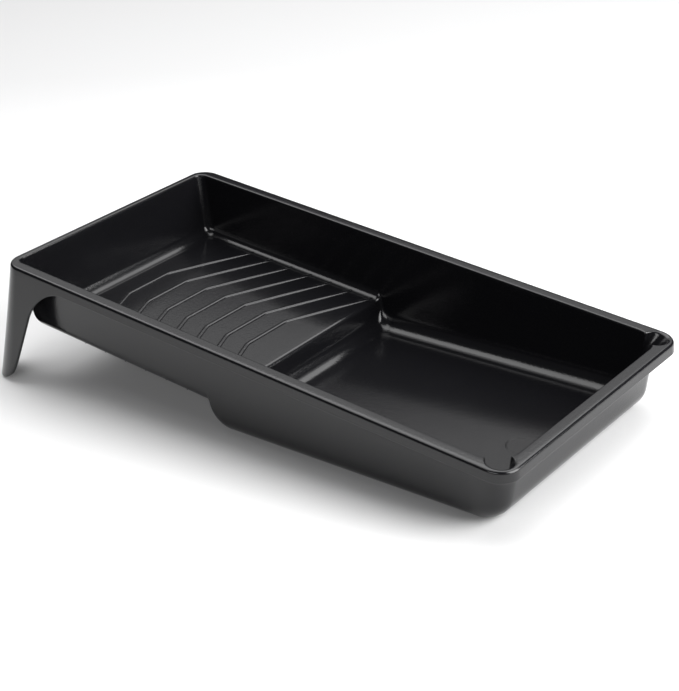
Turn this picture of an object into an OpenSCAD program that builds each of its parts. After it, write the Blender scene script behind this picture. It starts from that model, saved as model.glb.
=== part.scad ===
// Small paint roller tray: a stepped basin under a flat rim, with two flared legs at the shallow
// end and two pouring corners at the deep end. Millimetres, standing on Z = 0, deep end towards +X.

/* [Rim] */
// Length of the rim, shallow end to deep end
rim_length = 300; // [280:5:340]
// Width of the rim
rim_width = 150; // [130:5:180]
// Plan radius of the rim's corners
rim_corner = 10; // [8:0.5:12]
// Width of the flange on the long sides and the deep end
flange = 6.5; // [5.5:0.5:8]
// Width of the flange on the shallow end
end_flange = 3.5; // [3:0.5:6]
// Depth of the skirt that hangs from the flange
skirt = 5.5; // [4:0.5:7]
// Thickness of the moulding
wall = 1.5; // [1.2:0.1:2]

/* [Basin] */
// Slope of the rim over the ground, in degrees
tilt = 5.6; // [4.5:0.1:7]
// Depth of the well's underside below the rim, at the deep end
well_depth = 33.9; // [30:0.1:38]
// Depth of the ramp's underside below the rim, at the shallow end
ramp_depth = 34.6; // [31:0.1:37]
// Fall of the ramp along its length, as a fraction
ramp_fall = 0.006; // [0:0.002:0.02]
// Where the ramp ends in its lip, along X from the middle of the rim
lip_x = -19; // [-30:1:-10]
// Fillet radius along the foot of the ramp's walls
ramp_fillet = 4.5; // [3:0.5:6]
// Fillet radius along the foot of the well's walls
well_fillet = 8.75; // [6:0.25:10]
// Slope of the step's face from upright, in degrees
step_draft = 13; // [5:1:20]

/* [Ribs] */
// Spacing of the ribs along the ramp
rib_pitch = 13.65; // [12:0.05:14]
// Width of a rib at its foot
rib_width = 2; // [1.5:0.1:3]
// Height of a rib above the ramp
rib_height = 1.2; // [0.8:0.1:2]
// How far a rib's ends trail towards the lip
rib_sweep = 18; // [8:1:20]
// Half the length of a rib's straight middle
rib_middle = 15; // [8:1:25]

/* [Legs and spouts] */
// Half-width of a leg, along the rim from the corner, at mid height
leg_half = 14.5; // [12:0.5:18]
// Taper of a leg's half-width, per unit of depth
leg_taper = 0.26; // [0.1:0.01:0.3]
// Depth over which a pouring corner is scooped out
scoop = 14; // [10:0.5:18]
// Radius of the scoop's mouth in plan
scoop_r = 6; // [5:0.25:6]

/* [Hidden] */
plastic = "#1c1d1f";

half_l = rim_length / 2;
half_w = rim_width / 2;
slope = tan(tilt);
ground = well_depth + half_l * slope;    // depth of the ground under the middle of the rim
rib_count = 7;
first_rib = -half_l + 27.5;
flare = 0.13;                            // outward run of the skirt and legs, per unit of depth
flare_curve = 0.0003;                    // and how that grows with depth
side_draft = 0.06;
end_draft = 0.236;
deep_draft = 0.08;
leg_run = 32.5;                          // straight rim that belongs to a leg, each way
spout_run = 26;                          // rim that belongs to a spout, from each side of its corner
leg_edge = leg_run + rim_corner * PI / 4;
tip = ground + (half_l - 0.1) * slope;   // depth of the ground under a leg's tip
shift = half_l / 20 - 0.36;              // brings the middle of the plan's box over the origin
corner_steps = 12;
fillet_steps = 5;

// --- basin surface -------------------------------------------------------------------------
// A station is a place along the basin's outline. Its kinds are:
// [0, xi, fi, xo, fo, r] on a long side, with the inner and outer place and floor depth,
// [1, a, far] and [2, a, far] on the deep and the shallow corners, at angle a on the near one,
// [3, y] and [4, y] on the deep and the shallow ends.

function ramp_floor(x) = ramp_depth - wall + ramp_fall * (x + half_l);
function well_floor_at(x) = well_depth - wall + slope * (half_l - x);
function polar(r, a) = r * [cos(a), sin(a)];

function near_side(d, e) = -(half_w - flange - side_draft * d + e);
function deep_x(d) = half_l - flange - deep_draft * d;
function shallow_x(d) = -half_l + end_flange + end_draft * d;
function deep_r(d) = 13.5 - 0.11 * d;
function shallow_r(d) = 4.2 + 0.03 * d;

function corner(d, e, x, r, s) =
    let (p = [x, near_side(d, 0) + r] + polar(r + e, s[1])) s[2] ? [p[0], -p[1]] : p;

// Plan of the basin's wall at a station, at depth d, moved out by e.
function plan(s, d, e, t) =
    s[0] == 0 ? [t == 0 ? s[1] : s[3], near_side(d, e)] :
    s[0] == 1 ? corner(d, e, deep_x(d) - deep_r(d), deep_r(d), s) :
    s[0] == 2 ? corner(d, e, shallow_x(d) + shallow_r(d), shallow_r(d), s) :
    s[0] == 3 ? [deep_x(d) + e, s[1]] : [shallow_x(d) - e, s[1]];

function in_well(s) = s[0] == 1 || s[0] == 3;
function fillet(s) = s[0] == 0 ? s[5] : in_well(s) ? well_fillet : ramp_fillet;
function floor_depth(s, x, t) =
    s[0] == 0 ? (t == 0 ? s[2] : s[4]) : t * wall + (in_well(s) ? well_floor_at(x) : ramp_floor(x));

// Point on the fillet at a station, th degrees round it; t is 0 inside and 1 outside.
function low_point(s, th, t) =
    let (r = fillet(s), rr = r + t * wall, e = rr * cos(th) - r, drop = rr * (1 - sin(th)),
         rough = plan(s, 28, e, t), d = floor_depth(s, rough[0], t) - drop, p = plan(s, d, e, t))
    [p[0], p[1], drop - floor_depth(s, p[0], t)];

// A wall starts under the flange, and lower where a pouring spout takes its place.
function by_spout(s) =
    s[0] == 3 && abs(s[1]) > half_w - spout_run - 1 || s[0] == 0 && s[1] > half_l - spout_run - 1;
function top_depth(s) = s[0] == 1 ? scoop : by_spout(s) ? 2 * wall : wall;
function top_point(s, t) = let (d = top_depth(s), p = plan(s, d, t * wall, t)) [p[0], p[1], -d];

// --- stations ------------------------------------------------------------------------------
function turn(kind, a0, a1, far = false) =
    [for (i = [0:corner_steps]) [kind, a0 + (a1 - a0) * i / corner_steps, far]];
function on_ramp(x) = [0, x, ramp_floor(x), x, ramp_floor(x) + wall, ramp_fillet];
function on_well(x) = [0, x, well_floor_at(x), x, well_floor_at(x) + wall, well_fillet];

// The step's profile: the lip, the face and a rounded foot that runs into the well's floor.
face = tan(step_draft);
foot_x = (face * (well_depth - wall + slope * half_l - ramp_floor(lip_x)) + lip_x) / (1 + face * slope);
foot_turn = 7.5;
face_top = [lip_x, ramp_floor(lip_x)];
face_foot = [foot_x, well_floor_at(foot_x)];
arc_start = face_foot - foot_turn * [sin(step_draft), cos(step_draft)];
arc_end = face_foot + foot_turn * [cos(tilt), -sin(tilt)];
function blend(a, b, c, t) = (1 - t) * (1 - t) * a + 2 * t * (1 - t) * b + t * t * c;
function step_station(p, a, k) =
    let (q = p + wall * cos(tilt) * [-cos(a), sin(a)], r = ramp_fillet + k * (well_fillet - ramp_fillet))
    [0, p[0], p[1], q[0], q[1], r];
step_stations = concat(
    [[0, face_top[0], face_top[1], lip_x - wall, ramp_floor(lip_x) + wall, ramp_fillet]],
    [for (i = [0:5]) step_station(blend(arc_start, face_foot, arc_end, i / 5),
                                  step_draft + (90 - step_draft + tilt) * i / 5, 0.3 + 0.7 * i / 5)]);
step_end = step_stations[len(step_stations) - 1];
ramp_end = step_stations[0];

// --- solids between two grids --------------------------------------------------------------
// A closed solid between grid a and grid b, both m by n; closed_end joins the first row to itself.
module plate(a, b, flip = true, closed_end = false) {
    m = len(a);
    n = len(a[0]);
    function at(g, i, j) = (g * m + i) * n + j;
    function quad(p, q, r, s) = [[p, q, r], [p, r, s]];
    k = n / 2 - 1;
    faces = concat(
        [for (i = [0:m - 2], j = [0:n - 2])
            each quad(at(0, i, j), at(0, i + 1, j), at(0, i + 1, j + 1), at(0, i, j + 1))],
        [for (i = [0:m - 2], j = [0:n - 2])
            each quad(at(1, i, j), at(1, i, j + 1), at(1, i + 1, j + 1), at(1, i + 1, j))],
        [for (i = [0:m - 2]) each quad(at(0, i, 0), at(1, i, 0), at(1, i + 1, 0), at(0, i + 1, 0))],
        [for (i = [0:m - 2])
            each quad(at(0, i, n - 1), at(0, i + 1, n - 1), at(1, i + 1, n - 1), at(1, i, n - 1))],
        [for (j = [0:n - 2])
            each quad(at(0, m - 1, j), at(1, m - 1, j), at(1, m - 1, j + 1), at(0, m - 1, j + 1))],
        closed_end
            ? concat(
                [for (j = [0:k - 1])
                    each quad(at(0, 0, j), at(0, 0, j + 1), at(0, 0, n - 2 - j), at(0, 0, n - 1 - j))],
                [for (j = [0:k - 1])
                    each quad(at(1, 0, j), at(1, 0, n - 1 - j), at(1, 0, n - 2 - j), at(1, 0, j + 1))],
                quad(at(0, 0, 0), at(0, 0, n - 1), at(1, 0, n - 1), at(1, 0, 0)))
            : [for (j = [0:n - 2]) each quad(at(0, 0, j), at(0, 0, j + 1), at(1, 0, j + 1), at(1, 0, j))]);
    polyhedron([for (g = [a, b], row = g, p = row) p],
               flip ? [for (f = faces) [f[2], f[1], f[0]]] : faces, convexity = 8);
}

module placed() {
    color(plastic) translate([shift, 0, ground * cos(tilt)]) rotate([0, tilt, 0]) children();
}

module basin_wall(stations) {
    function column(s, t) = [top_point(s, t), low_point(s, 0, t)];
    plate([for (s = stations) column(s, 0)], [for (s = stations) column(s, 1)]);
}

// A stretch of floor with its two side fillets, from the near side to its mirror image.
module basin_floor(stations, flip = false, closed_end = false) {
    function near(s, t) = [for (i = [0:fillet_steps]) low_point(s, 90 * i / fillet_steps, t)];
    function across(s, t) =
        let (p = near(s, t)) concat(p, [for (i = [fillet_steps:-1:0]) [p[i][0], -p[i][1], p[i][2]]]);
    plate([for (s = stations) across(s, 0)], [for (s = stations) across(s, 1)], flip, closed_end);
}

// --- rim -----------------------------------------------------------------------------------
function lean(d) = flare * d + flare_curve * d * d;

// A straight run of flange and skirt, drawn as the near long side's section.
module rim_run(length, width) {
    section = [[0, 0], [width, 0], [width, -wall], [wall - lean(wall), -wall],
               [wall - lean(skirt), -skirt], [-lean(skirt), -skirt]];
    rotate([90, 0, 90]) linear_extrude(length) polygon(section);
}

module rim_front() {
    placed() translate([-half_l + rim_corner + leg_run, -half_w, 0])
        rim_run(rim_length - rim_corner - leg_run - spout_run, flange);
}

module rim_back() {
    placed() mirror([0, 1, 0]) translate([-half_l + rim_corner + leg_run, -half_w, 0])
        rim_run(rim_length - rim_corner - leg_run - spout_run, flange);
}

module rim_shallow_end() {
    reach = half_w - rim_corner - leg_run;
    placed() translate([-half_l, reach, 0]) rotate([0, 0, -90]) rim_run(2 * reach, end_flange);
}

module rim_deep_end() {
    reach = half_w - spout_run;
    placed() translate([half_l, -reach, 0]) rotate([0, 0, 90]) rim_run(2 * reach, flange);
}

// --- legs ----------------------------------------------------------------------------------
// Half-width of the leg at depth d: an arch under the skirt, a straight taper and a rounded tip.
leg_steps = 22;
arch_h = 20;
function leg_width(d) =
    let (line = leg_half + leg_taper * (ground * 0.72 - d),
         top = leg_half + leg_taper * (ground * 0.72 - skirt),
         up = max(0, 1 - (d - skirt) / arch_h),
         end = max(0, 1 + (d - tip - 0.4) / 18.6))
    d <= skirt ? leg_edge
               : (line + (leg_edge - top) * (1 - sqrt(1 - up * up))) * sqrt(max(0, 1 - pow(end, 4)));

// Point on the rim's shallow near corner, s along it from the corner's middle, moved out by e.
function leg_outline(s, e) =
    let (arc = rim_corner * PI / 4, a = 225 + min(max(s, -arc), arc) / rim_corner * 180 / PI,
         over = s > arc ? s - arc : s < -arc ? s + arc : 0,
         c = [-half_l + rim_corner, -half_w + rim_corner])
    c + polar(rim_corner + e, a) + (s > 0 ? [over, 0] : [0, -over]);

// The flange's inner edge beside the same place.
function leg_inner(s) =
    let (arc = rim_corner * PI / 4, w = max(-1, min(1, s / arc)), p = plan([2, 225 + 45 * w, false], 0, 0, 0),
         far = (abs(s) - arc) / leg_run)
    abs(s) <= arc ? p :
    s > 0 ? p + far * [-half_l + rim_corner + leg_run - p[0], 0]
          : p + far * [0, -half_w + rim_corner + leg_run - p[1]];

module leg() {
    function u(i) = let (w = i / leg_steps * 2 - 1) w * pow(abs(w), 0.3);
    depths = [for (k = [0:18]) skirt + (tip - skirt) * (k / 18 - 0.12 * sin(20 * k))];
    function row(d, t) = [for (i = [0:leg_steps])
        let (p = leg_outline(u(i) * leg_width(d), lean(d) - t * wall)) [p[0], p[1], -d]];
    function edge(d) = [for (i = [0:leg_steps]) let (p = leg_inner(u(i) * leg_edge)) [p[0], p[1], -d]];
    plate(concat([edge(0), row(0, 0)], [for (d = depths) row(d, 0)]),
          concat([edge(wall), row(wall, 1)], [for (d = depths) row(d, 1)]));
}

// --- pouring spouts ------------------------------------------------------------------------
// Columns run round the deep near corner, w from 0 to 1; the first and last lie on straight rim.
module pour_spout() {
    n = corner_steps;
    mouth = [half_l, -half_w] + (3.5 + scoop_r) * [-1, 1];
    reach = half_w - spout_run;
    function rim_angle(w) = 270 + 90 * min(1, max(0, 2 * w - 0.5));
    function rim_point(w, e) =
        let (a = rim_angle(w), c = [half_l - rim_corner, -half_w + rim_corner],
             far = spout_run - rim_corner - 7, back = max(0, 1 - 4 * w) * far, on = max(0, 4 * w - 3) * far)
        c + polar(rim_corner + e, a) + [-back, on];
    function outer(w, e) = w < 0 ? [half_l - spout_run, -half_w - e] : w > 1 ? [half_l + e, -reach] : rim_point(w, e);
    function edge(w) = w < 0 ? [half_l - spout_run, -half_w + flange]
                     : w > 1 ? [half_l - flange, -reach] : mouth + polar(scoop_r, 201 + 226 * w);
    function station(w) = w < 0 ? on_well(half_l - spout_run) : w > 1 ? [3, -reach] : [1, 270 + 90 * w, false];
    function scooped(w, u, t) =
        let (s = station(w), deep = top_depth(s), m = 1 - pow(1 - u, 1.5), p = plan(s, deep, t * wall, t),
             lip = edge(w) + polar(t * wall, 270 + 90 * min(1, max(0, w))), q = (1 - m) * lip + m * p)
        [q[0], q[1], -t * wall - u * (deep - t * wall)];
    function high(p, d) = [p[0], p[1], -d];
    ws = concat([-1], [for (i = [0:n]) i / n], [2]);
    function column(w, t) = concat(
        [high(outer(w, lean(skirt) - t * wall), skirt), high(outer(w, lean(t * wall) - t * wall), t * wall)],
        [for (u = [0:5]) scooped(w, u / 5, t)]);
    plate([for (w = ws) column(w, 0)], [for (w = ws) column(w, 1)]);
}

// --- ribs ----------------------------------------------------------------------------------
module rib(k) {
    reach = -near_side(ramp_floor(0), -ramp_fillet);
    path = [[rib_sweep, -reach], [0, -rib_middle], [0, rib_middle], [rib_sweep, reach]];
    function line(w) = [for (q = path) q + [w, 0]];
    function strip(w) = concat(line(w / 2), [for (i = [3:-1:0]) line(-w / 2)[i]]);
    placed() translate([0, 0, -ramp_floor(0)]) rotate([0, atan(ramp_fall), 0])
        translate([first_rib + rib_pitch * (k - 1), 0, 0]) {
            linear_extrude(rib_height * 0.6) polygon(strip(rib_width));
            linear_extrude(rib_height) polygon(strip(rib_width * 0.6));
        }
}

// --- named pieces --------------------------------------------------------------------------
side_stations = concat(turn(2, 225, 270), step_stations,
                       [on_well(half_l - spout_run - 2), on_well(half_l - spout_run)], turn(1, 270, 315));

module leg_front() { placed() leg(); }
module leg_back() { placed() mirror([0, 1, 0]) leg(); }
module pour_spout_front() { placed() pour_spout(); }
module pour_spout_back() { placed() mirror([0, 1, 0]) pour_spout(); }
module wall_front() { placed() basin_wall(side_stations); }
module wall_back() { placed() mirror([0, 1, 0]) basin_wall(side_stations); }
module wall_shallow_end() { placed() basin_wall(concat(turn(2, 225, 180, true), turn(2, 180, 225))); }
module wall_deep_end() {
    reach = half_w - spout_run;
    placed() basin_wall(concat(turn(1, 315, 360), [for (y = [-reach, 2 - reach, reach - 2, reach]) [3, y]],
                               turn(1, 360, 315, true)));
}
module ramp() { placed() basin_floor(concat(turn(2, 180, 270), [ramp_end]), true, true); }
module step() { placed() basin_floor(step_stations, true); }
module well_floor() { placed() basin_floor(concat(turn(1, 360, 270), [step_end]), false, true); }

rim_front();
rim_back();
rim_shallow_end();
rim_deep_end();
leg_front();
leg_back();
pour_spout_front();
pour_spout_back();
wall_front();
wall_back();
wall_shallow_end();
wall_deep_end();
ramp();
step();
well_floor();
for (k = [1:rib_count])
    rib(k);
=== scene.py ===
import math
import bmesh
import bpy
from mathutils import Matrix, Vector


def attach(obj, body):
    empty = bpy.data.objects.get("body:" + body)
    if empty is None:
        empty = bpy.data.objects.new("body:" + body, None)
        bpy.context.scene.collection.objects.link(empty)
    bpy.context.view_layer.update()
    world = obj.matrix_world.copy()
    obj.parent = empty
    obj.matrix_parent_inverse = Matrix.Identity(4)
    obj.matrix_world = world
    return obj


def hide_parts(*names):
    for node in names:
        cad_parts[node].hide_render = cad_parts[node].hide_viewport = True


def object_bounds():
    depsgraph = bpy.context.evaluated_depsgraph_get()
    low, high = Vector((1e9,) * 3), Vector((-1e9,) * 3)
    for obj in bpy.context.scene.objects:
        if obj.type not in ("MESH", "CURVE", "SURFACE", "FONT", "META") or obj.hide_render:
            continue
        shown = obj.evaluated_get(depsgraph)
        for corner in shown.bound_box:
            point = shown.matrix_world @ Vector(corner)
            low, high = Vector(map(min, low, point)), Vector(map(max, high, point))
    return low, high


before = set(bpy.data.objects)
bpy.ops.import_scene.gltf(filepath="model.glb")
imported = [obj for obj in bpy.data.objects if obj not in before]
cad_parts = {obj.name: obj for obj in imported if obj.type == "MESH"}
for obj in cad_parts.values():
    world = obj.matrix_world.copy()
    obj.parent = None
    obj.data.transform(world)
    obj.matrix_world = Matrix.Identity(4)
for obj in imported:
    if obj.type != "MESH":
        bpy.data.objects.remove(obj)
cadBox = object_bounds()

mm = 0.001

# the moulding, in millimetres, measured in the rim's own frame: its origin is the rim's middle, and +X points
# to the deep end
tray = {
    "length": 300.0, "width": 150.0, "tilt": 5.6,
    "rimCorner": 10.0, "flange": 6.5, "endFlange": 3.5, "skirt": 5.5, "wall": 1.5,
    "flare": 0.13, "flareCurve": 0.0003,
    "wellDepth": 33.9, "rampDepth": 34.6, "rampFall": 0.006,
    "sideDraft": 0.06, "shallowDraft": 0.236, "deepDraft": 0.08,
    "rampFillet": 4.5, "wellFillet": 8.75, "stepDraft": 13.0,
    "deepCorner": 13.5, "deepCornerFall": 0.11, "shallowCorner": 4.2, "shallowCornerRise": 0.03,
    "lipX": -18.6, "lipRound": 2.4, "footRound": 8.5,
    "topRound": 1.3, "edgeRound": 0.8, "lowRound": 0.5, "floorEdge": 0.5,
}
legs = {"half": 14.5, "halfAt": 0.72, "taper": 0.26, "archHeight": 20.0, "run": 32.5, "tipLength": 18.6,
        "tipPower": 4, "tipClear": 0.4, "footInset": 0.1, "halvings": 40}
spouts = {"depth": 14.0, "radius": 6.0, "rim": 2.7, "thin": 0.9, "from": 290.0, "to": 338.0,
          "fade": 1.5, "roundness": 0.5}

# how finely each stretch of the shell is divided, and the powers that gather rows near the rim
counts = {"ramp": 24, "lip": 10, "foot": 16, "well": 28, "endMiddle": 12, "shallowCorner": 28,
          "wellSide": 12, "besideMouth": 8, "mouth": 40, "deepEnd": 20, "fillet": 9, "wall": 12,
          "innerEdge": 5, "outerEdge": 6, "skirt": 18}
spread = {"legFine": 0.4, "legFineCount": 42, "legCoarse": 0.9, "legCoarseCount": 17, "wallPower": 1.6,
          "flangeRows": (0.35, 0.7), "lowAngles": (30, 60, 90)}

halfL, halfW = tray["length"] / 2, tray["width"] / 2
slope = math.tan(math.radians(tray["tilt"]))
groundDepth = tray["wellDepth"] + halfL * slope
cosT, sinT = math.cos(math.radians(tray["tilt"])), math.sin(math.radians(tray["tilt"]))
wall = tray["wall"]


def lean(d):
    return tray["flare"] * d + tray["flareCurve"] * d * d


# the rim frame sits in the row's frame so that the deep end's skirt meets the end of the CAD box
deepReach = (halfL + lean(tray["skirt"])) * cosT - tray["skirt"] * sinT
shiftX = cadBox[1][0] / mm - deepReach


def toRow(x, y, z):
    return Vector((x * cosT + z * sinT + shiftX, y, -x * sinT + (z + groundDepth) * cosT)) * mm


def rampFloor(x):
    return tray["rampDepth"] - wall + tray["rampFall"] * (x + halfL)


def wellFloor(x):
    return tray["wellDepth"] - wall + slope * (halfL - x)


def sideY(d):
    return -(halfW - tray["flange"] - tray["sideDraft"] * d)


def deepX(d):
    return halfL - tray["flange"] - tray["deepDraft"] * d


def shallowX(d):
    return -halfL + tray["endFlange"] + tray["shallowDraft"] * d


def deepR(d):
    return tray["deepCorner"] - tray["deepCornerFall"] * d


def shallowR(d):
    return tray["shallowCorner"] + tray["shallowCornerRise"] * d


def mix(a, b, t):
    return a + (b - a) * t


def unit(a):
    return Vector((math.cos(math.radians(a)), math.sin(math.radians(a))))


print("tray: profile of the ramp, the lip, the step and the well")


filletGain = {"atLip": 0.8, "atFoot": 1.6}  # how the fillet's radius grows on the way down the step
beforeLip = 2.0


# inner and outer floor along X: list of (xIn, depthIn, xOut, depthOut, filletRadius)
def floorProfile(xFrom, xTo):
    face = math.tan(math.radians(tray["stepDraft"]))
    lip = Vector((tray["lipX"], rampFloor(tray["lipX"])))
    footX = (face * (wellFloor(0) - lip[1]) + lip[0]) / (1 + face * slope)
    foot = Vector((footX, wellFloor(footX)))
    corners = [Vector((xFrom, rampFloor(xFrom))), lip, foot, Vector((xTo, wellFloor(xTo)))]
    out = []

    def add(p, n, r):
        q = p + n * wall * cosT
        out.append((p[0], p[1], q[0], q[1], r))

    def bend(k, radius, side, steps, r0, r1):
        a = (corners[k] - corners[k - 1]).normalized()
        b = (corners[k + 1] - corners[k]).normalized()
        turn = math.acos(max(-1, min(1, a.dot(b))))
        reach = radius * math.tan(turn / 2)
        na = Vector((-a[1], a[0]))
        centre = corners[k] - a * reach + na * radius * side
        for i in range(steps + 1):
            w = turn * i / steps * side
            n = Vector((na[0] * math.cos(w) - na[1] * math.sin(w), na[0] * math.sin(w) + na[1] * math.cos(w)))
            add(centre - n * radius * side, n, mix(r0, r1, i / steps))

    for i in range(counts["ramp"]):
        x = mix(xFrom, tray["lipX"] - beforeLip, i / counts["ramp"])
        out.append((x, rampFloor(x), x, rampFloor(x) + wall, tray["rampFillet"]))
    rampFillet = tray["rampFillet"]
    bend(1, tray["lipRound"], 1, counts["lip"], rampFillet, rampFillet + filletGain["atLip"])
    bend(2, tray["footRound"], -1, counts["foot"], rampFillet + filletGain["atFoot"], tray["wellFillet"])
    last = out[-1][0]
    for i in range(1, counts["well"] + 1):
        x = mix(last, xTo, i / counts["well"])
        out.append((x, wellFloor(x), x, wellFloor(x) + wall, tray["wellFillet"]))
    return out


# columns of the near half, from the middle of the shallow end round to the middle of the deep end
tip = groundDepth + (halfL - legs["footInset"]) * slope
arc = tray["rimCorner"] * math.pi / 4
legEdge = legs["run"] + arc


def legWidth(d):
    def line(e):
        return legs["half"] + legs["taper"] * (groundDepth * legs["halfAt"] - e)
    up = max(0.0, 1 - (d - tray["skirt"]) / legs["archHeight"])
    end = max(0.0, 1 + (d - tip - legs["tipClear"]) / legs["tipLength"])
    arch = (legEdge - line(tray["skirt"])) * (1 - math.sqrt(1 - up * up))
    return (line(d) + arch) * math.sqrt(max(0.0, 1 - end ** legs["tipPower"]))


# how far down the skirt or leg reaches, t along the rim from a shallow corner's middle
def skirtDepth(t):
    if t >= legEdge:
        return tray["skirt"]
    lo, hi = tray["skirt"], tip
    for k in range(legs["halvings"]):
        mid = (lo + hi) / 2
        lo, hi = (mid, hi) if legWidth(mid) > t else (lo, mid)
    return lo


wellSideFrom = 112.0  # where the side's wall stops following the floor's profile
beforeCorner, afterCorner = 4.0, 6.0  # how far the mouth's columns reach along the side and the end
awayFromLegs = 999.0


def makeColumns():
    cols = []
    fineTo = spread["legFine"] * spread["legFineCount"]
    legSteps = [spread["legFine"] * i for i in range(spread["legFineCount"])]
    legSteps += [fineTo + spread["legCoarse"] * i for i in range(1, spread["legCoarseCount"] + 1)]
    far = legSteps[-1]
    oc = halfW - tray["rimCorner"]  # outer corner's centre, along Y
    ocx = halfL - tray["rimCorner"]
    for i in range(counts["endMiddle"]):  # middle of the shallow end to the leg
        y = -(oc - far) * i / counts["endMiddle"]
        cols.append({"kind": "shallowEnd", "f": -y / oc, "o": ("end", -1, y), "t": arc + oc + y})
    for s in reversed(legSteps):
        if s > 0:
            cols.append({"kind": "shallowEnd", "f": (oc - s) / oc, "o": ("end", -1, -(oc - s)), "t": arc + s})
    for i in range(counts["shallowCorner"] + 1):
        a = 180 + 90 * i / counts["shallowCorner"]
        cols.append({"kind": "shallowCorner", "a": a, "o": ("corner", -1, a),
                     "t": abs(a - 225) * math.pi / 180 * tray["rimCorner"]})
    xA = -ocx + far
    for s in legSteps:
        if s > 0:
            cols.append({"kind": "sideA", "f": s / far, "xa": xA, "o": ("side", 0, -ocx + s), "t": arc + s})
    xC = wellSideFrom
    for p in floorProfile(xA, xC)[1:]:
        cols.append({"kind": "side", "p": p, "o": ("side", 0, p[0]), "t": awayFromLegs})
    for i in range(1, counts["wellSide"]):
        f = i / counts["wellSide"]
        o = ("side", 0, mix(xC, ocx - beforeCorner, f))
        cols.append({"kind": "sideC", "f": f, "xc": xC, "o": o, "t": awayFromLegs})
    start, end = spouts["from"], spouts["to"]
    beside, across = counts["besideMouth"], counts["mouth"]
    angles = [270 + (start - 270) * i / beside for i in range(beside)]
    angles += [mix(start, end, i / across) for i in range(across + 1)]
    angles += [mix(end, 360, i / beside) for i in range(1, beside + 1)]
    for k, a in enumerate(angles):
        w = k / (len(angles) - 1)
        if w < 0.25:  # the first and last quarters run along the side and the end
            o = ("side", 0, mix(ocx - beforeCorner, ocx, w / 0.25))
        elif w > 0.75:
            o = ("end", 1, mix(-oc, -oc + afterCorner, (w - 0.75) / 0.25))
        else:
            o = ("corner", 1, 270 + 90 * (w - 0.25) * 2)
        cols.append({"kind": "deepCorner", "a": a, "o": o, "t": awayFromLegs})
    for i in range(1, counts["deepEnd"] + 1):
        f = i / counts["deepEnd"]
        o = ("end", 1, (-oc + afterCorner) * (1 - f))
        cols.append({"kind": "deepEnd", "f": 1 - f, "o": o, "t": awayFromLegs})
    return cols


def outerPoint(o, e):
    kind, sign, v = o
    if kind == "side":
        return Vector((v, -halfW - e))
    if kind == "end":
        return Vector((sign * (halfL + e), v))
    corner = tray["rimCorner"]
    return Vector((sign * (halfL - corner), -halfW + corner)) + unit(v) * (corner + e)


def cornerPoint(col, d, out):
    if col["kind"] == "deepCorner":
        r = deepR(d)
        return Vector((deepX(d) - r, sideY(d) + r)) + unit(col["a"]) * (r + out)
    r = shallowR(d)
    return Vector((shallowX(d) + r, sideY(d) + r)) + unit(col["a"]) * (r + out)


# plan of the basin's wall at depth d, moved outwards; t is 0 inside and 1 outside
def wallPoint(col, d, out, t):
    kind = col["kind"]
    if kind == "shallowEnd":
        return Vector((shallowX(d) - out, col["f"] * (sideY(d) + shallowR(d))))
    if kind == "deepEnd":
        return Vector((deepX(d) + out, col["f"] * (sideY(d) + deepR(d))))
    if kind == "sideA":
        return Vector((mix(shallowX(d) + shallowR(d), col["xa"], col["f"]), sideY(d) - out))
    if kind == "sideC":
        return Vector((mix(col["xc"], deepX(d) - deepR(d), col["f"]), sideY(d) - out))
    if kind == "side":
        return Vector((col["p"][2 * t], sideY(d) - out))
    p = cornerPoint(col, d, out)
    if "mouth" in col and d < spouts["depth"]:
        p = p + col["mouthOut" if t else "mouth"] * (1 - d / spouts["depth"]) ** spouts["fade"]
    return p


def filletOf(col):
    if col["kind"] == "side":
        return col["p"][4]
    return tray["wellFillet"] if col["kind"] in ("deepCorner", "deepEnd", "sideC") else tray["rampFillet"]


def floorOf(col, x, t):
    if col["kind"] == "side":
        return col["p"][1 + 2 * t]
    return t * wall + (wellFloor(x) if col["kind"] in ("deepCorner", "deepEnd", "sideC") else rampFloor(x))


firstDepth = 28  # where lowPoint starts looking for the wall's foot


def lowPoint(col, th, t, inset=0.0):  # th degrees round the fillet at the wall's foot
    r = filletOf(col)
    rr = r + t * wall
    e = rr * math.cos(math.radians(th)) - r - inset
    drop = rr * (1 - math.sin(math.radians(th)))
    p = wallPoint(col, firstDepth, e, t)
    for k in range(2):
        d = floorOf(col, p[0], t) - drop
        p = wallPoint(col, d, e, t)
    return p[0], p[1], drop - floorOf(col, p[0], t)


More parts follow.
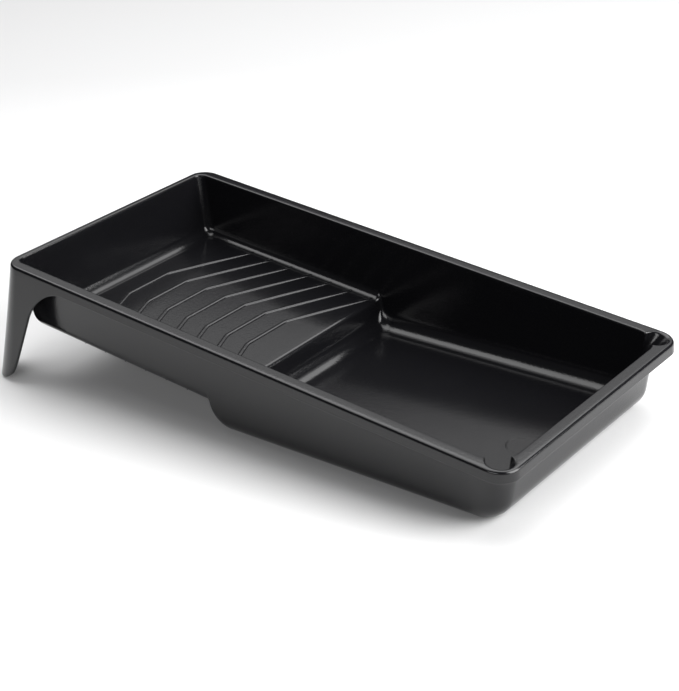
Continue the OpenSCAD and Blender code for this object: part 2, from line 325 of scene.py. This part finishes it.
def columnPoints(col, edgeNormal):
    pts = []
    filletSteps, wallSteps, wallPower = counts["fillet"], counts["wall"], spread["wallPower"]
    pts.append(lowPoint(col, 90, 0, tray["floorEdge"]))
    for i in range(filletSteps + 1):
        pts.append(lowPoint(col, 90 - 90 * i / filletSteps, 0))
    low = -pts[-1][2]
    er = tray["edgeRound"]
    for i in range(1, wallSteps + 1):  # inner wall, closer rows near the top
        d = er + (low - er) * (1 - i / wallSteps) ** wallPower
        p = wallPoint(col, d, 0, 0)
        pts.append((p[0], p[1], -d))
    for i in range(1, counts["innerEdge"] + 1):  # rounding at the flange's inner edge
        a = math.radians(90 * i / counts["innerEdge"])
        d = er * (1 - math.sin(a))
        p = wallPoint(col, d, 0, 0) + edgeNormal * er * (1 - math.cos(a))
        pts.append((p[0], p[1], -d))
    tr = tray["topRound"]
    inner = Vector(pts[-1][:2])
    outer = outerPoint(col["o"], -tr)
    for w in spread["flangeRows"]:
        p = inner.lerp(outer, w)
        pts.append((p[0], p[1], 0))
    for i in range(counts["outerEdge"] + 1):  # rounding at the rim's outer edge
        a = math.radians(90 * i / counts["outerEdge"])
        d = tr * (1 - math.cos(a))
        p = outerPoint(col["o"], tr * (math.sin(a) - 1) + lean(d))
        pts.append((p[0], p[1], -d))
    s = skirtDepth(col["t"])
    lr = tray["lowRound"]
    rows = counts["skirt"]
    for i in range(1, rows + 1):
        d = tr + (s - lr - tr) * i / rows
        p = outerPoint(col["o"], lean(d))
        pts.append((p[0], p[1], -d))
    for a in spread["lowAngles"]:
        e, d = lr * (1 - math.cos(math.radians(a))), s - lr * (1 - math.sin(math.radians(a)))
        p = outerPoint(col["o"], lean(d) - e)
        pts.append((p[0], p[1], -d))
    for a in spread["lowAngles"][::-1] + (0,):
        e, d = wall - lr * (1 - math.cos(math.radians(a))), s - lr * (1 - math.sin(math.radians(a)))
        p = outerPoint(col["o"], lean(d) - e)
        pts.append((p[0], p[1], -d))
    for i in range(1, rows):
        d = mix(s - lr, wall + lr, i / (rows - 1))
        p = outerPoint(col["o"], lean(d) - wall)
        pts.append((p[0], p[1], -d))
    p = outerPoint(col["o"], -wall - lr)
    pts.append((p[0], p[1], -wall))
    high = -lowPoint(col, 0, 1)[2]
    for i in range(wallSteps):
        d = mix(wall, high, (i / wallSteps) ** wallPower)
        p = wallPoint(col, d, wall, 1)
        pts.append((p[0], p[1], -d))
    for i in range(filletSteps + 1):
        pts.append(lowPoint(col, 90 * i / filletSteps, 1))
    pts.append(lowPoint(col, 90, 1, tray["floorEdge"]))
    return pts


def addMouths(cols):
    centre = Vector((halfL, -halfW)) + Vector((-1, 1)) * (spouts["rim"] + spouts["radius"])
    ring = [c for c in cols if c["kind"] == "deepCorner" and spouts["from"] <= c["a"] <= spouts["to"]]
    first = cornerPoint(ring[0], 0, 0) - centre
    last = cornerPoint(ring[-1], 0, 0) - centre
    a0 = math.degrees(math.atan2(first[1], first[0])) % 360
    a1 = math.degrees(math.atan2(last[1], last[0])) % 360 + 360
    for k, c in enumerate(ring):
        w = k / (len(ring) - 1)
        r = mix(first.length, last.length, w)
        r = mix(r, spouts["radius"], math.sin(math.pi * w) ** spouts["roundness"])
        c["mouth"] = centre + unit(mix(a0, a1, w)) * r - cornerPoint(c, 0, 0)
        # the outer skin stays clear of the skirt
        c["mouthOut"] = c["mouth"] * max(0.0, 1 - spouts["thin"] / max(c["mouth"].length, 0.001))


# the faint ring that the moulding tool leaves on the well's floor
gateMark = {"x": 114.0, "y": -3.0, "radius": 7.0, "width": 0.7, "height": 0.16, "around": 64, "section": 8}


def addGateMark(bm):
    look, around, section = gateMark, gateMark["around"], gateMark["section"]
    ring = []
    for i in range(around):
        out = unit(360 * i / around)
        loop = []
        for k in range(section):
            across = unit(360 * k / section)
            r = look["radius"] + across[0] * look["width"] / 2
            x, y = look["x"] + out[0] * r, look["y"] + out[1] * r
            loop.append(bm.verts.new(toRow(x, y, across[1] * look["height"] - wellFloor(x))))
        ring.append(loop)
    for i in range(around):
        a, b = ring[i], ring[(i + 1) % around]
        for k in range(section):
            bm.faces.new((a[k], b[k], b[(k + 1) % section], a[(k + 1) % section]))


def makeShell():
    cols = makeColumns()
    addMouths(cols)
    edge = [wallPoint(c, 0, 0, 0) for c in cols]
    n = len(cols)
    near = []
    for i, c in enumerate(cols):
        a = edge[i - 1] if i else Vector((edge[1][0], -edge[1][1]))
        b = edge[i + 1] if i < n - 1 else Vector((edge[-2][0], -edge[-2][1]))
        t = (b - a).normalized()
        near.append(columnPoints(c, Vector((t[1], -t[0]))))
    rows = len(near[0])
    bm = bmesh.new()
    ring = [[bm.verts.new(toRow(*p)) for p in col] for col in near]
    ring += [[bm.verts.new(toRow(p[0], -p[1], p[2])) for p in near[i]] for i in range(n - 2, 0, -1)]
    count = len(ring)
    for i in range(count):
        a, b = ring[i], ring[(i + 1) % count]
        for j in range(rows - 1):
            bm.faces.new((a[j], b[j], b[j + 1], a[j + 1]))
    endOf = sum(1 for c in cols if c["kind"] == "shallowEnd")
    startOf = n - 1 - sum(1 for c in cols if c["kind"] == "deepEnd")
    for j, flip in ((0, True), (rows - 1, False)):
        faces = [[ring[i][j], ring[i + 1][j], ring[count - i - 1][j], ring[count - i][j]]
                 for i in range(endOf, startOf)]
        shallow = list(range(0, endOf + 1)) + [(count - i) % count for i in range(endOf, 0, -1)]
        deep = list(range(startOf, n)) + [count - i for i in range(n - 2, startOf - 1, -1)]
        faces += [[ring[i][j] for i in end] for end in (shallow, deep)]
        for f in faces:
            bm.faces.new(f[::-1] if flip else f)
    addGateMark(bm)
    bmesh.ops.recalc_face_normals(bm, faces=bm.faces)
    me = bpy.data.meshes.new("tray_shell")
    bm.to_mesh(me)
    bm.free()
    for p in me.polygons:
        p.use_smooth = True
    ob = bpy.data.objects.new("tray_shell", me)
    bpy.context.collection.objects.link(ob)
    return ob


# semi-gloss black moulded plastic
plastic = {"colour": (0.0055, 0.0055, 0.0065, 1), "roughness": 0.16, "roughnessSpread": 0.04,
           "index": 1.49, "cloudScale": 22.0, "cloudDetail": 6,
           "grain": 0.00018, "grainScale": 900.0, "grainDetail": 3, "grainStrength": 0.25}


def makePlastic(name, look):
    mat = bpy.data.materials.new(name)
    mat.use_nodes = True
    nodes, links = mat.node_tree.nodes, mat.node_tree.links
    shader = nodes["Principled BSDF"]
    shader.inputs["Base Color"].default_value = look["colour"]
    shader.inputs["IOR"].default_value = look["index"]
    place = nodes.new("ShaderNodeTexCoord")
    clouds = nodes.new("ShaderNodeTexNoise")
    clouds.inputs["Scale"].default_value = look["cloudScale"]
    clouds.inputs["Detail"].default_value = look["cloudDetail"]
    rough = nodes.new("ShaderNodeMapRange")
    rough.inputs["To Min"].default_value = look["roughness"] - look["roughnessSpread"]
    rough.inputs["To Max"].default_value = look["roughness"] + look["roughnessSpread"]
    links.new(place.outputs["Object"], clouds.inputs["Vector"])
    links.new(clouds.outputs["Fac"], rough.inputs["Value"])
    links.new(rough.outputs["Result"], shader.inputs["Roughness"])
    grain = nodes.new("ShaderNodeTexNoise")
    grain.inputs["Scale"].default_value = look["grainScale"]
    grain.inputs["Detail"].default_value = look["grainDetail"]
    bump = nodes.new("ShaderNodeBump")
    bump.inputs["Distance"].default_value = look["grain"]
    bump.inputs["Strength"].default_value = look["grainStrength"]
    links.new(place.outputs["Object"], grain.inputs["Vector"])
    links.new(grain.outputs["Fac"], bump.inputs["Height"])
    links.new(bump.outputs["Normal"], shader.inputs["Normal"])
    return mat


black = makePlastic("black_polypropylene", plastic)

print("tray: shell")
shell = makeShell()
shell.data.materials.append(black)

# the ramp's ridges
ribs = {"Count": 7, "Start": -122.5, "Pitch": 13.65, "Width": 2.3, "Height": 0.6,
        "Sweep": 20.0, "Middle": 15.0, "Reach": 66.5, "Taper": 6.0}
ribMesh = {"along": 129, "section": 16, "softBend": 1.5, "tipRound": 0.5, "tipLeast": 0.03, "merge": 1e-6}


def makeRibs(values):
    tree = bpy.data.node_groups.new("rampRibs", "GeometryNodeTree")
    face = tree.interface
    face.new_socket("Geometry", in_out="OUTPUT", socket_type="NodeSocketGeometry")
    for name in values:
        kind = "NodeSocketInt" if name == "Count" else "NodeSocketFloat"
        face.new_socket(name, in_out="INPUT", socket_type=kind)
    nodes, links = tree.nodes, tree.links
    given = nodes.new("NodeGroupInput")
    out = nodes.new("NodeGroupOutput")

    def calc(op, a, b=None, clamp=False):
        node = nodes.new("ShaderNodeMath")
        node.operation = op
        node.use_clamp = clamp
        for k, v in enumerate((a, b)):
            if v is None:
                continue
            if isinstance(v, (int, float)):
                node.inputs[k].default_value = v
            else:
                links.new(v, node.inputs[k])
        return node.outputs[0]

    def vector(x, y, z):
        node = nodes.new("ShaderNodeCombineXYZ")
        for k, v in enumerate((x, y, z)):
            if isinstance(v, (int, float)):
                node.inputs[k].default_value = v
            else:
                links.new(v, node.inputs[k])
        return node.outputs[0]

    value = {name: given.outputs[name] for name in values}
    line = nodes.new("GeometryNodeCurvePrimitiveLine")
    links.new(vector(0, calc("MULTIPLY", value["Reach"], -1), 0), line.inputs["Start"])
    links.new(vector(0, value["Reach"], 0), line.inputs["End"])
    fine = nodes.new("GeometryNodeResampleCurve")
    fine.inputs["Count"].default_value = ribMesh["along"]
    links.new(line.outputs["Curve"], fine.inputs["Curve"])
    where = nodes.new("GeometryNodeInputPosition")
    apart = nodes.new("ShaderNodeSeparateXYZ")
    links.new(where.outputs[0], apart.inputs[0])
    away = calc("ABSOLUTE", apart.outputs["Y"])
    past = nodes.new("ShaderNodeMath")  # soft bend where the middle ends
    past.operation = "SMOOTH_MAX"
    links.new(calc("SUBTRACT", away, value["Middle"]), past.inputs[0])
    past.inputs[1].default_value = 0
    past.inputs[2].default_value = ribMesh["softBend"]
    run = calc("DIVIDE", past.outputs[0], calc("SUBTRACT", value["Reach"], value["Middle"]))
    bent = nodes.new("GeometryNodeSetPosition")
    links.new(fine.outputs["Curve"], bent.inputs["Geometry"])
    links.new(vector(calc("MULTIPLY", run, value["Sweep"]), 0, 0), bent.inputs["Offset"])
    ends = calc("DIVIDE", calc("SUBTRACT", value["Reach"], away), value["Taper"], clamp=True)
    thick = nodes.new("GeometryNodeSetCurveRadius")
    links.new(bent.outputs["Geometry"], thick.inputs["Curve"])
    rounded = calc("POWER", ends, ribMesh["tipRound"])
    links.new(calc("ADD", rounded, ribMesh["tipLeast"]), thick.inputs["Radius"])
    section = nodes.new("GeometryNodeCurvePrimitiveCircle")
    section.inputs["Resolution"].default_value = ribMesh["section"]
    section.inputs["Radius"].default_value = 1.0
    squashed = nodes.new("GeometryNodeTransform")
    links.new(section.outputs["Curve"], squashed.inputs["Geometry"])
    links.new(vector(calc("MULTIPLY", value["Width"], 0.5), value["Height"], 1.0), squashed.inputs["Scale"])
    sweep = nodes.new("GeometryNodeCurveToMesh")
    links.new(thick.outputs["Curve"], sweep.inputs["Curve"])
    links.new(squashed.outputs["Geometry"], sweep.inputs["Profile Curve"])
    sweep.inputs["Fill Caps"].default_value = True
    if "Scale" in sweep.inputs:
        radius = nodes.new("GeometryNodeInputRadius")
        links.new(radius.outputs[0], sweep.inputs["Scale"])
    places = nodes.new("GeometryNodeMeshLine")
    links.new(value["Count"], places.inputs["Count"])
    links.new(vector(value["Start"], 0, 0), places.inputs["Start Location"])
    links.new(vector(value["Pitch"], 0, 0), places.inputs["Offset"])
    row = nodes.new("GeometryNodeInstanceOnPoints")
    links.new(places.outputs["Mesh"], row.inputs["Points"])
    links.new(sweep.outputs["Mesh"], row.inputs["Instance"])
    real = nodes.new("GeometryNodeRealizeInstances")
    links.new(row.outputs["Instances"], real.inputs["Geometry"])
    paint = nodes.new("GeometryNodeSetMaterial")
    paint.inputs["Material"].default_value = black
    links.new(real.outputs["Geometry"], paint.inputs["Geometry"])
    links.new(paint.outputs["Geometry"], out.inputs["Geometry"])

    carrier = bpy.data.objects.new("ribCarrier", bpy.data.meshes.new("ribCarrier"))
    bpy.context.collection.objects.link(carrier)
    mod = carrier.modifiers.new("ribs", "NODES")
    mod.node_group = tree
    for item in tree.interface.items_tree:
        if item.in_out == "INPUT":
            mod[item.identifier] = values[item.name]
    carrier.update_tag()
    graph = bpy.context.evaluated_depsgraph_get()
    me = bpy.data.meshes.new_from_object(carrier.evaluated_get(graph))
    carrier.modifiers.clear()
    bpy.data.objects.remove(carrier)
    me.name = "ramp_ribs"
    for v in me.vertices:  # from the ramp's own plane to the row's frame
        x, y, z = v.co
        v.co = toRow(x, y, z - rampFloor(x))
    bm = bmesh.new()
    bm.from_mesh(me)
    bmesh.ops.remove_doubles(bm, verts=bm.verts, dist=ribMesh["merge"])
    bmesh.ops.recalc_face_normals(bm, faces=bm.faces)
    bm.to_mesh(me)
    bm.free()
    for p in me.polygons:
        p.use_smooth = True
    ob = bpy.data.objects.new("ramp_ribs", me)
    bpy.context.collection.objects.link(ob)
    return ob


print("tray: ribs")
ridges = makeRibs(ribs)

for piece in (shell, ridges):
    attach(piece, "root")
ribNodes = [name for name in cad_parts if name.startswith("rib_")]
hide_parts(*ribNodes)
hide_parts(*[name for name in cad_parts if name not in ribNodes])

print("studio: floor, lights and camera")
studio = {"floorSize": 12.0, "floorHeight": -0.00005, "floorColour": (0.82, 0.82, 0.82, 1),
          "floorRoughness": 0.9, "floorSpecular": 0.1, "roomLight": (0.05, 0.05, 0.054, 1)}


def makeFloor():
    me = bpy.data.meshes.new("floor")
    s, z = studio["floorSize"] / 2, studio["floorHeight"]
    me.from_pydata([(-s, -s, z), (s, -s, z), (s, s, z), (-s, s, z)], [], [(0, 1, 2, 3)])
    ob = bpy.data.objects.new("floor", me)
    bpy.context.collection.objects.link(ob)
    mat = bpy.data.materials.new("paleFloor")
    mat.use_nodes = True
    shader = mat.node_tree.nodes["Principled BSDF"]
    shader.inputs["Base Color"].default_value = studio["floorColour"]
    shader.inputs["Roughness"].default_value = studio["floorRoughness"]
    shader.inputs["Specular IOR Level"].default_value = studio["floorSpecular"]
    me.materials.append(mat)


makeFloor()
world = bpy.data.worlds.new("studio")
bpy.context.scene.world = world
world.use_nodes = True
world.node_tree.nodes["Background"].inputs["Color"].default_value = studio["roomLight"]

# every lamp: place, where it points, size across and up, power
lamps = {
    "overhead": {"at": (-0.35, 0.45, 1.6), "to": (0.0, 0.0, 0.0), "size": (2.2, 1.8), "power": 30},
    "backPanel": {"at": (-0.135, 0.18, 0.547), "to": (0.385, -0.513, 0.047), "size": (0.9, 0.7),
                  "power": 1.7},
    "rightFloor": {"at": (0.95, 0.3, 0.55), "to": (0.25, 0.06, 0.0), "size": (0.9, 0.9), "power": 20},
    "frontFill": {"at": (0.3, -1.5, 0.9), "to": (0.0, -0.15, 0.0), "size": (1.2, 0.5), "power": 7},
}


def makeLamp(name, look):
    data = bpy.data.lights.new(name, "AREA")
    data.shape = "RECTANGLE"
    data.size, data.size_y = look["size"]
    data.energy = look["power"]
    ob = bpy.data.objects.new(name, data)
    bpy.context.collection.objects.link(ob)
    at, to = Vector(look["at"]), Vector(look["to"])
    ob.location = at
    ob.rotation_euler = (to - at).to_track_quat("-Z", "Y").to_euler()


for name, look in lamps.items():
    makeLamp(name, look)

# the camera is set in the rim's frame: azimuth, elevation and roll in degrees, place in millimetres
view = {"azimuth": 37.374, "elevation": 30.024, "roll": 1.080, "place": (436.6, -563.7, 385.8), "lens": 87.26,
        "sensor": 36, "near": 0.01, "far": 50}


def makeCamera():
    data = bpy.data.cameras.new("camera")
    ob = bpy.data.objects.new("camera", data)
    bpy.context.collection.objects.link(ob)
    az, el, roll = (math.radians(view[k]) for k in ("azimuth", "elevation", "roll"))
    forward = Vector((-math.sin(az) * math.cos(el), math.cos(az) * math.cos(el), -math.sin(el)))
    right = Vector((math.cos(az), math.sin(az), 0))
    up = right.cross(forward)
    r = right * math.cos(roll) + up * math.sin(roll)
    u = up * math.cos(roll) - right * math.sin(roll)
    turn = Matrix((r, u, -forward)).transposed()
    tilted = Matrix.Rotation(math.radians(tray["tilt"]), 3, "Y") @ turn
    ob.matrix_world = Matrix.Translation(toRow(*view["place"])) @ tilted.to_4x4()
    data.lens = view["lens"]
    data.sensor_width = view["sensor"]
    data.clip_start, data.clip_end = view["near"], view["far"]
    bpy.context.scene.camera = ob


makeCamera()
bpy.context.scene.view_settings.view_transform = "Standard"  # plain whites behind a black object
